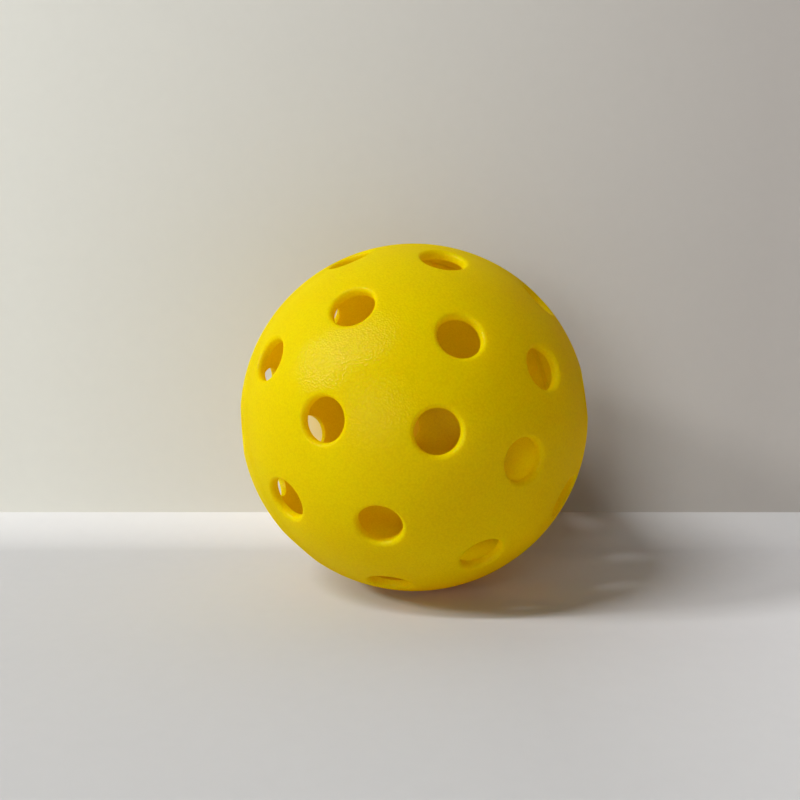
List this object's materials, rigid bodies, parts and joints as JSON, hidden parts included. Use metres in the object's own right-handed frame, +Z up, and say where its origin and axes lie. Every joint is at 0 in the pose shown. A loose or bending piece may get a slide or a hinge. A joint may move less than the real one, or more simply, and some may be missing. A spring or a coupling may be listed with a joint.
{
  "type": "pickleball ball",
  "caption": "Hollow perforated plastic ball for a paddle sport: two moulded half shells with rounded round holes, welded together along the equator.",
  "frame": {"origin": "centre of the ball", "axes": "+Z up; -Z is the axis of the hole the ball rests on; -Y is the side that faces the viewer, with the front half's pole turned to the right of it and a little up"},
  "size_m": [0.074, 0.074, 0.0736],
  "materials": {
    "shell_plastic": "satin, fine moulded grain, slightly translucent yellow polyethylene",
    "weld_plastic": "the same plastic, melted and set again, flush and satin"
  },
  "bodies": {
    "root": {"front_half_shell": "shell_plastic", "rear_half_shell": "shell_plastic", "equator_weld": "weld_plastic"}
  },
  "joints": []
}
